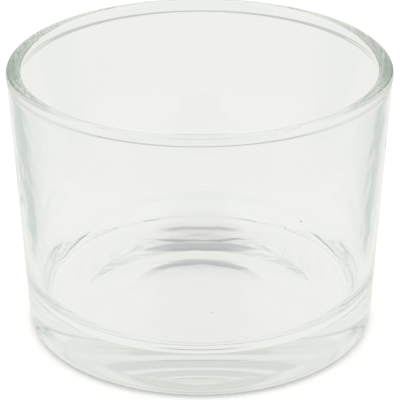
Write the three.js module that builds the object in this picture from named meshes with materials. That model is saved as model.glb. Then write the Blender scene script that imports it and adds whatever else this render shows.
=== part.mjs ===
// A clear pressed-glass candle vessel: a low, straight-sided tumbler with a beaded rim and a heavy base.
// Millimetres, +Z up. The origin is the centre of the foot, on the surface the vessel stands on.
import * as THREE from "three";

// Outside of the vessel
const HEIGHT = 60;
const MOUTH_DIAMETER = 82; // over the rim's bead, the widest part
const FOOT_DIAMETER = 75.9; // where the outer wall's line would meet the table
const HEEL_RADIUS = 2.2; // the round corner between the wall and the foot

// Rim: the flame that polishes it melts the edge into a round bead, thicker than the wall below
const BEAD_WIDTH = 3.2; // across the bead
const BEAD_ROUND = 1.3; // radius of its inner and outer rounds, with a narrow level top between them
const BEAD_OVERHANG_IN = 0.75; // how far the bead stands in from the wall's inner face
const BEAD_OVERHANG_OUT = 0.11; // and out from its outer face
const NECK_EASE_IN = 2.4; // the height in which the bead eases into the wall's inner face
const NECK_EASE_OUT = 0.8;

// Inside of the vessel
const BASE_WALL = 3.3; // glass thickness of the wall's line at the level of the floor's edge
const FLOOR_HEIGHT = 7.4; // from the table to the middle of the floor, which the candle stands on
const FLOOR_DISH = 1.2; // how much higher the floor's edge is than its middle
const CORNER_HEIGHT = 6.5; // the rounded corner between the inner wall and the floor
const CORNER_WIDTH = 4.9;

// Underside
const PUSH_UP_DIAMETER = 53; // the shallow dome inside the bearing ring
const PUSH_UP_DEPTH = 2.4;

// Facets of the lathe and of the round stretches of its outline
const LATHE_FACETS = 72;
const DOME_STEPS = 7;
const HEEL_STEPS = 4;
const BEAD_STEPS = 5;
const EASE_STEPS = 5;
const CORNER_STEPS = 8;
const DISH_STEPS = 6;

const QUARTER_TURN = Math.PI / 2;

// Points on an arc about (x, z), from one angle to the other, in radians.
function arc(x, z, radius, from, to, steps) {
  const points = [];
  for (let i = 0; i <= steps; i++) {
    const angle = from + ((to - from) * i) / steps;
    points.push(new THREE.Vector2(x + radius * Math.cos(angle), z + radius * Math.sin(angle)));
  }
  return points;
}

// The lean from vertical of a wall face: the straight line that leaves (x, z) and passes the centre
// of one of the bead's rounds at the given distance, on its outer side (+1) or its inner side (-1).
function leanOfFace(x, z, round, distance, side) {
  const away = Math.hypot(round.x - x, round.z - z);
  return Math.atan2(round.x - x, round.z - z) + side * Math.asin(distance / away);
}

// Points down the neck, from the wall face that leans so up to the bead's flank, on the outer side
// (+1) or the inner side (-1). The bead's overhang fades in an S over the height of the ease.
function neck(round, lean, overhang, ease, side) {
  const points = [];
  for (let i = EASE_STEPS; i > 0; i--) {
    const share = i / EASE_STEPS;
    const faded = share * share * (3 - 2 * share);
    const out = side * (BEAD_ROUND - overhang * faded);
    const down = ease * share;
    points.push(
      new THREE.Vector2(
        round.x + out * Math.cos(lean) - down * Math.sin(lean),
        round.z - out * Math.sin(lean) - down * Math.cos(lean),
      ),
    );
  }
  return points;
}

// The rounded corner inside the vessel, from the inner wall down to the floor's edge. Its top leans
// with the wall and its foot is level. The wall's line meets the floor's edge level at wallX.
function innerCorner(wallX, edgeHeight, lean) {
  const points = [];
  for (let i = 0; i <= CORNER_STEPS; i++) {
    const turn = (QUARTER_TURN * i) / CORNER_STEPS;
    const down = CORNER_HEIGHT * Math.sin(turn);
    const wallTop = wallX + CORNER_HEIGHT * Math.tan(lean);
    points.push(
      new THREE.Vector2(
        wallTop - CORNER_WIDTH * (1 - Math.cos(turn)) - down * Math.tan(lean) * Math.cos(turn),
        edgeHeight + CORNER_HEIGHT - down,
      ),
    );
  }
  return points;
}

// The half section of the glass, from the middle of the underside round to the middle of the floor.
function halfSection() {
  const outerRound = { x: MOUTH_DIAMETER / 2 - BEAD_ROUND, z: HEIGHT - BEAD_ROUND };
  const innerRound = { x: MOUTH_DIAMETER / 2 - BEAD_WIDTH + BEAD_ROUND, z: HEIGHT - BEAD_ROUND };

  const footRadius = FOOT_DIAMETER / 2;
  const outerLean = leanOfFace(footRadius, 0, outerRound, BEAD_ROUND - BEAD_OVERHANG_OUT, 1);
  const heelX = footRadius - (HEEL_RADIUS * (1 - Math.sin(outerLean))) / Math.cos(outerLean);

  const edgeHeight = FLOOR_HEIGHT + FLOOR_DISH;
  const innerWallX = footRadius + edgeHeight * Math.tan(outerLean) - BASE_WALL;
  const innerLean = leanOfFace(innerWallX, edgeHeight, innerRound, BEAD_ROUND - BEAD_OVERHANG_IN, -1);

  const section = [];
  const domeRadius = PUSH_UP_DIAMETER / 2;
  for (let i = 0; i <= DOME_STEPS; i++) {
    const share = i / DOME_STEPS;
    section.push(new THREE.Vector2(domeRadius * share, PUSH_UP_DEPTH * (1 - share * share)));
  }
  section.push(...arc(heelX, HEEL_RADIUS, HEEL_RADIUS, -QUARTER_TURN, -outerLean, HEEL_STEPS));
  section.push(...neck(outerRound, outerLean, BEAD_OVERHANG_OUT, NECK_EASE_OUT, 1));
  section.push(...arc(outerRound.x, outerRound.z, BEAD_ROUND, -outerLean, QUARTER_TURN, BEAD_STEPS));
  section.push(
    ...arc(innerRound.x, innerRound.z, BEAD_ROUND, QUARTER_TURN, Math.PI - innerLean, BEAD_STEPS),
  );
  section.push(...neck(innerRound, innerLean, BEAD_OVERHANG_IN, NECK_EASE_IN, -1).reverse());
  const corner = innerCorner(innerWallX, edgeHeight, innerLean);
  section.push(...corner);

  // the floor dips evenly from the corner's foot and levels out in its middle
  const floorRadius = corner[corner.length - 1].x;
  for (let i = DISH_STEPS - 1; i >= 0; i--) {
    const share = i / DISH_STEPS;
    const rise = i > 1 ? FLOOR_DISH * share * share : 0;
    section.push(new THREE.Vector2(floorRadius * share, FLOOR_HEIGHT + rise));
  }
  return section;
}

// Clear soda-lime glass with a faint green cast.
const clearGlass = new THREE.MeshStandardMaterial({
  color: 0xe8eee9,
  roughness: 0.03,
  metalness: 0,
  transparent: true,
  opacity: 0.35,
});

// The vessel is pressed as one piece of glass, so it is one closed solid.
const vesselGeometry = new THREE.LatheGeometry(halfSection(), LATHE_FACETS);
vesselGeometry.rotateX(QUARTER_TURN);
const vessel = new THREE.Mesh(vesselGeometry, clearGlass);
vessel.name = "glass_vessel";

const group = new THREE.Group();
group.add(vessel);

export default group;
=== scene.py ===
import math

import bmesh
import bpy
from mathutils import Matrix, Vector, noise


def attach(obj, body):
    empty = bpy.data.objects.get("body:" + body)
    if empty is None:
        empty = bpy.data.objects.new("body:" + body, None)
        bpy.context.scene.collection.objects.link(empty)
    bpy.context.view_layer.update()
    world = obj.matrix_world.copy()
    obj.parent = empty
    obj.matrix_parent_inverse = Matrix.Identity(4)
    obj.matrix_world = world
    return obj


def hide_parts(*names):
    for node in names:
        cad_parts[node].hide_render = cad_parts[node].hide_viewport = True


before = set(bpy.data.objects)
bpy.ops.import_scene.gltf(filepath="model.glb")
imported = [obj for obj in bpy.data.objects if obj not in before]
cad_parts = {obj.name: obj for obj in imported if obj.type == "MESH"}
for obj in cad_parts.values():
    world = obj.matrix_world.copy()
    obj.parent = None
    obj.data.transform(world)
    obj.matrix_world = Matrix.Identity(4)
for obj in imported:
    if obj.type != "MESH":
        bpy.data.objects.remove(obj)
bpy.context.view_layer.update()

# Vessel
# One piece of clear glass, pressed from a single gob between a mould and a plunger. A flame has
# melted its rim into a round bead. Nothing is joined to it. These sizes are in millimetres.
MM = 0.001
HEIGHT = 60.0
MOUTH_RADIUS = 41.0  # over the rim's bead, the widest part
FOOT_RADIUS = 37.95  # where the outer wall's line would meet the table
HEEL_RADIUS = 2.2
BEAD_WIDTH = 3.2
BEAD_ROUND = 1.3  # radius of the bead's inner and outer rounds
BEAD_OVERHANG_IN = 0.75
BEAD_OVERHANG_OUT = 0.11
NECK_EASE_IN = 2.4  # the height in which the bead eases into the wall
NECK_EASE_OUT = 0.8
BASE_WALL = 3.3  # thickness of the wall at the level of the floor's edge
FLOOR_HEIGHT = 7.4
FLOOR_DISH = 1.2  # how much higher the floor's edge is than its middle
CORNER_HEIGHT = 6.5
CORNER_WIDTH = 4.9
PUSH_UP_RADIUS = 26.5  # the shallow dome under the foot
PUSH_UP_DEPTH = 2.4
WALL_WAVE = 0.012
SIDE_WAVE = 0.03
WAVE_FOOT = 15
WAVE_TOP = HEIGHT - 3
SEGMENTS = 720
DOME_STEPS = 48
FLOOR_STEPS = 24
WALL_ROWS = 60


def arc(x, z, radius, start, end, steps):
    turns = [start + (end - start) * i / steps for i in range(steps + 1)]
    return [(x + radius * math.cos(a), z + radius * math.sin(a)) for a in turns]


def straight(start, end, steps):
    shares = [i / steps for i in range(1, steps)]
    return [
        (start[0] + (end[0] - start[0]) * s, start[1] + (end[1] - start[1]) * s) for s in shares]


# the lean from vertical of a wall face that leaves (x, z) and passes beside one of the bead's rounds
def lean_of_face(x, z, round_x, distance, side):
    across = round_x - x
    up = HEIGHT - BEAD_ROUND - z
    return math.atan2(across, up) + side * math.asin(distance / math.hypot(across, up))


# the bead's overhang fades in an S over the height of the ease
def neck(round_x, lean, overhang, ease, side, steps):
    points = []
    for i in range(steps, 0, -1):
        share = i / steps
        out = side * (BEAD_ROUND - overhang * share * share * (3 - 2 * share))
        x = round_x + out * math.cos(lean) - ease * share * math.sin(lean)
        z = HEIGHT - BEAD_ROUND - out * math.sin(lean) - ease * share * math.cos(lean)
        points.append((x, z))
    return points


# a rounded corner whose top leans with the wall and whose foot is level with the floor's edge
def inner_corner(wall_x, edge_height, lean, steps):
    points = []
    slope = math.tan(lean)
    for i in range(steps + 1):
        turn = math.pi / 2 * i / steps
        down = CORNER_HEIGHT * math.sin(turn)
        inwards = CORNER_WIDTH * (1 - math.cos(turn)) + down * slope * math.cos(turn)
        points.append((wall_x + CORNER_HEIGHT * slope - inwards, edge_height + CORNER_HEIGHT - down))
    return points


# The half section, from the middle of the underside round to the middle of the floor. The outer
# wall is drawn as one long facet, and the inner one in rows that can carry the waves.
def half_section():
    outer_x = MOUTH_RADIUS - BEAD_ROUND
    inner_x = MOUTH_RADIUS - BEAD_WIDTH + BEAD_ROUND
    bead_z = HEIGHT - BEAD_ROUND
    outer_lean = lean_of_face(FOOT_RADIUS, 0, outer_x, BEAD_ROUND - BEAD_OVERHANG_OUT, 1)
    heel_x = FOOT_RADIUS - HEEL_RADIUS * (1 - math.sin(outer_lean)) / math.cos(outer_lean)
    edge_height = FLOOR_HEIGHT + FLOOR_DISH
    wall_x = FOOT_RADIUS + edge_height * math.tan(outer_lean) - BASE_WALL
    inner_lean = lean_of_face(wall_x, edge_height, inner_x, BEAD_ROUND - BEAD_OVERHANG_IN, -1)

    dome_shares = [i / DOME_STEPS for i in range(DOME_STEPS + 1)]
    dome = [(PUSH_UP_RADIUS * s, PUSH_UP_DEPTH * (1 - s**2)) for s in dome_shares]
    heel = arc(heel_x, HEEL_RADIUS, HEEL_RADIUS, -math.pi / 2, -outer_lean, 16)
    outer_neck = neck(outer_x, outer_lean, BEAD_OVERHANG_OUT, NECK_EASE_OUT, 1, 10)
    outer_bead = arc(outer_x, bead_z, BEAD_ROUND, -outer_lean, math.pi / 2, 24)

    inner_bead = arc(inner_x, bead_z, BEAD_ROUND, math.pi / 2, math.pi - inner_lean, 24)
    inner_neck = neck(inner_x, inner_lean, BEAD_OVERHANG_IN, NECK_EASE_IN, -1, 16)[::-1]
    corner = inner_corner(wall_x, edge_height, inner_lean, 32)
    inner_wall = straight(inner_neck[-1], corner[0], WALL_ROWS)
    edge_x = corner[-1][0]
    floor_shares = [i / FLOOR_STEPS for i in range(FLOOR_STEPS - 1, -1, -1)]
    floor = [(edge_x * s, FLOOR_HEIGHT + FLOOR_DISH * s**2) for s in floor_shares]
    outside = dome + heel + outer_neck + outer_bead
    return outside + inner_bead + inner_neck + inner_wall + corner + floor


# The plunger leaves faint waves on the inner wall, which die out under the rim and above the base.
# They are strongest at the two sides, where the mould's halves meet.
def wave(turn, z):
    fade = min(max((z - WAVE_FOOT) / 10, 0), 1) * min(max((WAVE_TOP - z) / 8, 0), 1)
    if fade == 0:
        return 0
    broad = Vector((math.cos(turn) * 6, math.sin(turn) * 6, z / 10))
    slanted = Vector((math.cos(turn) * 15, math.sin(turn) * 15, z / 3 + turn * 3))
    height = WALL_WAVE + SIDE_WAVE * math.cos(turn) ** 6
    return height * fade * (noise.noise(broad) + 0.6 * noise.noise(slanted))


def ring_of(mesh, x, z):
    if x < 1e-6:
        return [mesh.verts.new((0, 0, z * MM))]
    ring = []
    for k in range(SEGMENTS):
        turn = 2 * math.pi * k / SEGMENTS
        reach = (x + wave(turn, z)) * MM
        ring.append(mesh.verts.new((reach * math.cos(turn), reach * math.sin(turn), z * MM)))
    return ring


def skin(mesh, rings):
    for lower, upper in zip(rings, rings[1:]):
        for k in range(SEGMENTS):
            after = (k + 1) % SEGMENTS
            if len(lower) == 1:
                mesh.faces.new((lower[0], upper[after], upper[k]))
            elif len(upper) == 1:
                mesh.faces.new((lower[k], lower[after], upper[0]))
            else:
                mesh.faces.new((lower[k], lower[after], upper[after], upper[k]))


# seed bubbles of trapped air: turn in degrees, height, distance from the axis, radius
mesh = bmesh.new()
for turn, z, away, radius in (
    (-58.9, 38.6, 38.4, 0.24), (-86.4, 20.3, 37.5, 0.12), (165.0, 53.4, 39.2, 0.16),
    (130.3, 41.6, 38.6, 0.09), (127.2, 43.0, 38.7, 0.08), (-141.0, 26.0, 37.9, 0.1)):
    turn = math.radians(turn)
    place = Vector((away * math.cos(turn), away * math.sin(turn), z)) * MM
    bmesh.ops.create_uvsphere(
        mesh, u_segments=24, v_segments=12, radius=radius * MM, matrix=Matrix.Translation(place))
bmesh.ops.reverse_faces(mesh, faces=mesh.faces)

skin(mesh, [ring_of(mesh, x, z) for x, z in half_section()])

data = bpy.data.meshes.new("pressed_glass_vessel")
mesh.to_mesh(data)
mesh.free()
data.shade_smooth()
vessel = bpy.data.objects.new("pressed_glass_vessel", data)
bpy.context.scene.collection.objects.link(vessel)


def linear(code):
    parts = [int(code[i : i + 2], 16) / 255 for i in (1, 3, 5)]
    return [c / 12.92 if c <= 0.04045 else ((c + 0.055) / 1.055) ** 2.4 for c in parts] + [1]


def add(tree, kind, settings=None, links=None):
    node = tree.nodes.new(kind)
    for key, value in (settings or {}).items():
        if isinstance(key, int) or key in node.inputs:
            node.inputs[key].default_value = value
        else:
            setattr(node, key, value)
    for key, socket in (links or {}).items():
        tree.links.new(socket, node.inputs[key])
    return node


# Pressed soda-lime glass: clear through the wall, faintly green where the eye looks along it.
# The mould leaves ripples a few millimetres wide, and hands leave a film too thin to see as dirt.
RIPPLE_WIDTH = 3.85
RIPPLE_DEPTH = 0.02
SMEAR_WIDTH = 22.2
glass = bpy.data.materials.new("pressed_soda_lime_glass")
glass.use_nodes = True
tree = glass.node_tree
tree.nodes.clear()
where = add(tree, "ShaderNodeTexCoord")
ripples = add(tree, "ShaderNodeTexNoise", {
    "Scale": 1 / (RIPPLE_WIDTH * MM), "Detail": 2.0, "Roughness": 0.45}, {
    "Vector": where.outputs["Object"]})
relief = add(tree, "ShaderNodeBump", {"Strength": 0.1, "Distance": RIPPLE_DEPTH * MM}, {
    "Height": ripples.outputs[0]})
smears = add(tree, "ShaderNodeTexNoise", {
    "Scale": 1 / (SMEAR_WIDTH * MM), "Detail": 3.0, "Roughness": 0.5}, {
    "Vector": where.outputs["Object"]})
film = add(tree, "ShaderNodeMapRange", {
    "From Min": 0.5, "From Max": 0.8, "To Min": 0.0, "To Max": 0.012}, {
    "Value": smears.outputs[0]})
body = add(tree, "ShaderNodeBsdfPrincipled", {
    "Base Color": (1, 1, 1, 1), "IOR": 1.52, "Transmission Weight": 1.0}, {
    "Roughness": film.outputs[0], "Normal": relief.outputs[0]})
depth = add(tree, "ShaderNodeVolumeAbsorption", {"Color": linear("#eef2ef"), "Density": 8.0})
add(tree, "ShaderNodeOutputMaterial", links={
    "Surface": body.outputs[0], "Volume": depth.outputs[0]})
vessel.data.materials.append(glass)
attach(vessel, "root")
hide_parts("glass_vessel")

# Table
# A white card under the vessel, with a tight contact shadow painted round the foot. The glass sees
# it as pale, with painted reflections that the camera doesn't see: a painted shadow in front,
# grey patches on either side behind, and a greyer strip far back.
WHITE_CARD = linear("#e7e7e7")
CONTACT_SHADE = linear("#bcbbbc")
PALE_CARD = linear("#f0f1ed")
FAR_SIDES_SHADE = linear("#e3e6e1")
FAR_FRONT_SHADE = linear("#e4e8e2")
PAINTED_FRONT_SHADOW = linear("#dadcd6")
REFLECTED_SIDE_PATCHES = linear("#cfd6d2")
FAR_BACK = linear("#c6c7c2")
PAINTED_FOOT_SHADOW = linear("#c6c7c3")
WHITE = (1, 1, 1, 1)
bpy.ops.mesh.primitive_plane_add(size=8, location=(0, 0, -0.00002))
table = bpy.context.object
table.name = "table"
sheet = bpy.data.materials.new("white_card")
sheet.use_nodes = True
sheet.cycles.emission_sampling = "NONE"
tree = sheet.node_tree
tree.nodes.clear()
ray = add(tree, "ShaderNodeLightPath")
seen = add(tree, "ShaderNodeMath", {"operation": "ADD", "use_clamp": True}, {
    0: ray.outputs["Is Glossy Ray"], 1: ray.outputs["Is Transmission Ray"]})

# places on the card, in metres from the vessel's axis, with soft edges
where = add(tree, "ShaderNodeTexCoord")
spot = add(tree, "ShaderNodeSeparateXYZ", links={0: where.outputs["Object"]})
across = add(tree, "ShaderNodeMath", {"operation": "ABSOLUTE"}, {0: spot.outputs["X"]})
away = add(tree, "ShaderNodeVectorMath", {"operation": "LENGTH"}, {0: where.outputs["Object"]})
before = add(tree, "ShaderNodeMapRange", {
    "interpolation_type": "SMOOTHSTEP", "From Min": 0.0, "From Max": -0.02}, {
    "Value": spot.outputs["Y"]})

# the painted shadow in front of the foot is grey, and the painted light at its left and right is
# white
past_foot = add(tree, "ShaderNodeMapRange", {
    "interpolation_type": "SMOOTHSTEP", "From Min": 0.04, "From Max": 0.064}, {
    "Value": away.outputs["Value"]})
within_front_shadow = add(tree, "ShaderNodeMapRange", {
    "interpolation_type": "SMOOTHSTEP", "From Min": 0.118, "From Max": 0.106}, {
    "Value": away.outputs["Value"]})
in_front = add(tree, "ShaderNodeMath", {"operation": "MULTIPLY"}, {
    0: before.outputs[0], 1: past_foot.outputs[0]})
in_front = add(tree, "ShaderNodeMath", {"operation": "MULTIPLY"}, {
    0: in_front.outputs[0], 1: within_front_shadow.outputs[0]})
to_side = add(tree, "ShaderNodeMapRange", {
    "interpolation_type": "SMOOTHSTEP", "From Min": 0.018, "From Max": 0.034}, {
    "Value": across.outputs[0]})
painted_front_shadow_and_light = add(tree, "ShaderNodeMix", {"data_type": "RGBA", 6: PAINTED_FRONT_SHADOW, 7: WHITE}, {
    0: to_side.outputs[0]})

# painted shade: the table is darker far off, to the sides and in front
far_aside = add(tree, "ShaderNodeMapRange", {
    "interpolation_type": "SMOOTHSTEP", "From Min": 0.09, "From Max": 0.12}, {
    "Value": across.outputs[0]})
far_off = add(tree, "ShaderNodeMapRange", {
    "interpolation_type": "SMOOTHSTEP", "From Min": 0.16, "From Max": 0.22}, {
    "Value": away.outputs["Value"]})
far_front = add(tree, "ShaderNodeMath", {"operation": "MULTIPLY"}, {
    0: far_off.outputs[0], 1: before.outputs[0]})

# grey side patches of painted reflection start 50 mm from the middle and spread towards the back
patch_edge = add(tree, "ShaderNodeMath", {"operation": "ADD", 1: -0.05}, {0: across.outputs[0]})
bearing = add(tree, "ShaderNodeMath", {"operation": "DIVIDE"}, {
    0: patch_edge.outputs[0], 1: spot.outputs["Y"]})
outside_edge = add(tree, "ShaderNodeMapRange", {
    "interpolation_type": "SMOOTHSTEP", "From Min": 0.38, "From Max": 0.48}, {
    "Value": bearing.outputs[0]})
behind = add(tree, "ShaderNodeMapRange", {
    "interpolation_type": "SMOOTHSTEP", "From Min": 0.008, "From Max": 0.022}, {
    "Value": spot.outputs["Y"]})
reflected_side_patches = add(tree, "ShaderNodeMath", {"operation": "MULTIPLY"}, {
    0: outside_edge.outputs[0], 1: behind.outputs[0]})

# the greyer strip far back, a painted reflection, draws the thin line under the back of the rim
far_behind = add(tree, "ShaderNodeMapRange", {
    "interpolation_type": "SMOOTHSTEP", "From Min": 0.68, "From Max": 0.73}, {
    "Value": spot.outputs["Y"]})
spread = add(tree, "ShaderNodeMath", {"operation": "DIVIDE"}, {
    0: across.outputs[0], 1: spot.outputs["Y"]})
straight_back = add(tree, "ShaderNodeMapRange", {
    "interpolation_type": "SMOOTHSTEP", "From Min": 0.5, "From Max": 0.4}, {
    "Value": spread.outputs[0]})
far_back = add(tree, "ShaderNodeMath", {"operation": "MULTIPLY"}, {
    0: far_behind.outputs[0], 1: straight_back.outputs[0]})

# a short grey line of painted shadow under the foot's bearing ring, at its front and back
ring_inside = add(tree, "ShaderNodeMapRange", {
    "interpolation_type": "SMOOTHSTEP", "From Min": 0.0318, "From Max": 0.0326}, {
    "Value": away.outputs["Value"]})
ring_outside = add(tree, "ShaderNodeMapRange", {
    "interpolation_type": "SMOOTHSTEP", "From Min": 0.0342, "From Max": 0.0336}, {
    "Value": away.outputs["Value"]})
in_middle = add(tree, "ShaderNodeMapRange", {
    "interpolation_type": "SMOOTHSTEP", "From Min": 0.0125, "From Max": 0.0055}, {
    "Value": across.outputs[0]})
painted_foot_shadow = add(tree, "ShaderNodeMath", {"operation": "MULTIPLY"}, {
    0: ring_inside.outputs[0], 1: ring_outside.outputs[0]})
painted_foot_shadow = add(tree, "ShaderNodeMath", {"operation": "MULTIPLY"}, {
    0: painted_foot_shadow.outputs[0], 1: in_middle.outputs[0]})

tone = add(tree, "ShaderNodeMix", {"data_type": "RGBA", 6: PALE_CARD, 7: FAR_SIDES_SHADE}, {
    0: far_aside.outputs[0]})
for place, colour in (
    (far_front, FAR_FRONT_SHADE), (reflected_side_patches, REFLECTED_SIDE_PATCHES), (far_back, FAR_BACK),
    (painted_foot_shadow, PAINTED_FOOT_SHADOW)):
    tone = add(tree, "ShaderNodeMix", {"data_type": "RGBA", 7: colour}, {
        0: place.outputs[0], 6: tone.outputs[2]})
tone = add(tree, "ShaderNodeMix", {"data_type": "RGBA"}, {
    0: in_front.outputs[0], 6: tone.outputs[2], 7: painted_front_shadow_and_light.outputs[2]})
# painted reflection: glossy and transmission rays see these tones as the table, where the camera
# sees the white card
painted_reflection = add(tree, "ShaderNodeEmission", {"Strength": 1.0}, {"Color": tone.outputs[2]})

# the camera sees the white card itself, with a contact shadow painted round the foot, and the real
# shadow that falls on it
clear_of_foot = add(tree, "ShaderNodeMapRange", {
    "interpolation_type": "SMOOTHSTEP", "From Min": 0.0362, "From Max": 0.0392}, {
    "Value": away.outputs["Value"]})
card_with_painted_shadow = add(tree, "ShaderNodeMix", {
    "data_type": "RGBA", 6: CONTACT_SHADE, 7: WHITE_CARD}, {0: clear_of_foot.outputs[0]})
lit = add(tree, "ShaderNodeBsdfDiffuse", links={"Color": card_with_painted_shadow.outputs[2]})
glow = add(tree, "ShaderNodeEmission", {"Strength": 0.64}, {"Color": card_with_painted_shadow.outputs[2]})
both = add(tree, "ShaderNodeAddShader", links={0: lit.outputs[0], 1: glow.outputs[0]})
mix = add(tree, "ShaderNodeMixShader", links={
    0: seen.outputs[0], 1: both.outputs[0], 2: painted_reflection.outputs[0]})
add(tree, "ShaderNodeOutputMaterial", links={"Surface": mix.outputs[0]})
table.data.materials.append(sheet)

# Studio
# A white tent. Its left and right walls and a panel over the camera are lit from outside. It is
# dimmer overhead, near the table, along a seam behind the vessel, and where it opens under that
# panel. Its edges are set by the parts of the direction in which a ray leaves.
TENT = linear("#eaebe7")
LIT_WALL = linear("#f4f4f0")
OVERHEAD = linear("#b2b4af")
NEAR_TABLE = linear("#e1e2d9")
LIT_PANEL = linear("#f8f8f5")
OPENING = linear("#93ac9b")
SEAM = linear("#e0e0dc")
HIGH_SEAM = linear("#aeb3b5")
world = bpy.data.worlds.new("tent")
bpy.context.scene.world = world
world.use_nodes = True
tree = world.node_tree
tree.nodes.clear()
ray = add(tree, "ShaderNodeLightPath")
way = add(tree, "ShaderNodeTexCoord")
part = add(tree, "ShaderNodeSeparateXYZ", links={0: way.outputs["Generated"]})
sideways = add(tree, "ShaderNodeMath", {"operation": "ABSOLUTE"}, {0: part.outputs["X"]})
lengthways = add(tree, "ShaderNodeMath", {"operation": "ABSOLUTE"}, {0: part.outputs["Y"]})

# the lit walls
past_end = add(tree, "ShaderNodeMath", {"operation": "MULTIPLY_ADD", 1: -0.74}, {
    0: lengthways.outputs[0], 2: sideways.outputs[0]})
past_top = add(tree, "ShaderNodeMath", {"operation": "MULTIPLY_ADD", 1: -0.26}, {
    0: part.outputs["Z"], 2: sideways.outputs[0]})
within_end = add(tree, "ShaderNodeMapRange", {
    "interpolation_type": "SMOOTHSTEP", "From Min": -0.05, "From Max": 0.05}, {
    "Value": past_end.outputs[0]})
within_top = add(tree, "ShaderNodeMapRange", {
    "interpolation_type": "SMOOTHSTEP", "From Min": -0.05, "From Max": 0.05}, {
    "Value": past_top.outputs[0]})
above_foot = add(tree, "ShaderNodeMapRange", {
    "interpolation_type": "SMOOTHSTEP", "From Min": 0.27, "From Max": 0.5}, {
    "Value": part.outputs["Z"]})
wall = add(tree, "ShaderNodeMath", {"operation": "MULTIPLY"}, {
    0: within_end.outputs[0], 1: within_top.outputs[0]})
wall = add(tree, "ShaderNodeMath", {"operation": "MULTIPLY"}, {
    0: wall.outputs[0], 1: above_foot.outputs[0]})

# the seam behind the vessel, darker where it nears the top
seam_side = add(tree, "ShaderNodeMapRange", {
    "interpolation_type": "SMOOTHSTEP", "From Min": 0.165, "From Max": 0.145}, {
    "Value": sideways.outputs[0]})
seam_foot = add(tree, "ShaderNodeMapRange", {
    "interpolation_type": "SMOOTHSTEP", "From Min": 0.24, "From Max": 0.34}, {
    "Value": part.outputs["Z"]})
seam_back = add(tree, "ShaderNodeMapRange", {
    "interpolation_type": "SMOOTHSTEP", "From Min": 0.0, "From Max": 0.1}, {
    "Value": part.outputs["Y"]})
seam = add(tree, "ShaderNodeMath", {"operation": "MULTIPLY"}, {
    0: seam_side.outputs[0], 1: seam_foot.outputs[0]})
seam = add(tree, "ShaderNodeMath", {"operation": "MULTIPLY"}, {
    0: seam.outputs[0], 1: seam_back.outputs[0]})
high_foot = add(tree, "ShaderNodeMapRange", {
    "interpolation_type": "SMOOTHSTEP", "From Min": 0.862, "From Max": 0.885}, {
    "Value": part.outputs["Z"]})
high_top = add(tree, "ShaderNodeMapRange", {
    "interpolation_type": "SMOOTHSTEP", "From Min": 0.985, "From Max": 0.975}, {
    "Value": part.outputs["Z"]})
high = add(tree, "ShaderNodeMath", {"operation": "MULTIPLY"}, {
    0: high_foot.outputs[0], 1: high_top.outputs[0]})
seam_tone = add(tree, "ShaderNodeMix", {"data_type": "RGBA", 6: SEAM, 7: HIGH_SEAM}, {
    0: high.outputs[0]})

# the panel over the camera, and the opening under it
past_side = add(tree, "ShaderNodeMath", {"operation": "MULTIPLY_ADD", 1: 0.9}, {
    0: sideways.outputs[0], 2: part.outputs["Y"]})
ahead = add(tree, "ShaderNodeMapRange", {
    "interpolation_type": "SMOOTHSTEP", "From Min": 0.05, "From Max": -0.05}, {
    "Value": past_side.outputs[0]})
under_top = add(tree, "ShaderNodeMapRange", {
    "interpolation_type": "SMOOTHSTEP", "From Min": 0.87, "From Max": 0.8}, {
    "Value": part.outputs["Z"]})
under_panel = add(tree, "ShaderNodeMapRange", {
    "interpolation_type": "SMOOTHSTEP", "From Min": 0.45, "From Max": 0.39}, {
    "Value": part.outputs["Z"]})
panel = add(tree, "ShaderNodeMath", {"operation": "MULTIPLY"}, {
    0: ahead.outputs[0], 1: under_top.outputs[0]})
opening = add(tree, "ShaderNodeMath", {"operation": "MULTIPLY"}, {
    0: ahead.outputs[0], 1: under_panel.outputs[0]})

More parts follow.
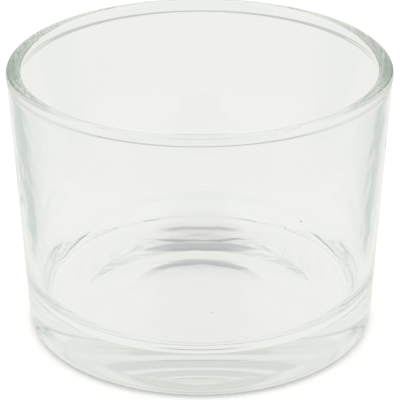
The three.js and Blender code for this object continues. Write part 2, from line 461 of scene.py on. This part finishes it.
overhead = add(tree, "ShaderNodeMapRange", {
    "interpolation_type": "SMOOTHSTEP", "From Min": 0.87, "From Max": 0.99}, {
    "Value": part.outputs["Z"]})
low = add(tree, "ShaderNodeMapRange", {
    "interpolation_type": "SMOOTHSTEP", "From Min": 0.34, "From Max": 0.2}, {
    "Value": part.outputs["Z"]})
tone = add(tree, "ShaderNodeMix", {"data_type": "RGBA", 6: TENT, 7: OVERHEAD}, {
    0: overhead.outputs[0]})
tone = add(tree, "ShaderNodeMix", {"data_type": "RGBA", 7: LIT_WALL}, {
    0: wall.outputs[0], 6: tone.outputs[2]})
tone = add(tree, "ShaderNodeMix", {"data_type": "RGBA"}, {
    0: seam.outputs[0], 6: tone.outputs[2], 7: seam_tone.outputs[2]})
for place, colour in ((low, NEAR_TABLE), (panel, LIT_PANEL), (opening, OPENING)):
    tone = add(tree, "ShaderNodeMix", {"data_type": "RGBA", 7: colour}, {
        0: place.outputs[0], 6: tone.outputs[2]})
around = add(tree, "ShaderNodeBackground", {"Strength": 1.0}, {"Color": tone.outputs[2]})
plain = add(tree, "ShaderNodeBackground", {"Color": WHITE, "Strength": 1.0})
mix = add(tree, "ShaderNodeMixShader", links={
    0: ray.outputs["Is Camera Ray"], 1: around.outputs[0], 2: plain.outputs[0]})
add(tree, "ShaderNodeOutputWorld", links={"Surface": mix.outputs[0]})

# Camera
# It looks down at the vessel from the front through a long lens, close enough that the rim and
# foot fill a picture 400 pixels wide. Lengths are in metres.
PICTURE_WIDTH = 400
PITCH = math.radians(25.4)
ROLL = math.radians(-0.166)
FOCAL_PIXELS = 1903.0
DISTANCE = 0.41677
AIM_HEIGHT = 0.02747
lens = bpy.data.cameras.new("camera")
camera = bpy.data.objects.new("camera", lens)
bpy.context.scene.collection.objects.link(camera)
forward = Vector((0, math.cos(PITCH), -math.sin(PITCH)))
level = forward.to_track_quat("-Z", "Y")
camera.location = Vector((0, 0, AIM_HEIGHT)) - forward * DISTANCE
camera.rotation_mode = "QUATERNION"
camera.rotation_quaternion = level @ Matrix.Rotation(ROLL, 3, "Z").to_quaternion()
lens.sensor_width = 36
lens.lens = FOCAL_PIXELS / PICTURE_WIDTH * lens.sensor_width
lens.clip_start = 0.01
lens.clip_end = 50
scene = bpy.context.scene
scene.camera = camera
scene.view_settings.view_transform = "Standard"
# light crosses the glass many times inside the rim and the base
CROSSINGS = 48
scene.cycles.max_bounces = CROSSINGS
scene.cycles.transmission_bounces = CROSSINGS
scene.cycles.glossy_bounces = CROSSINGS
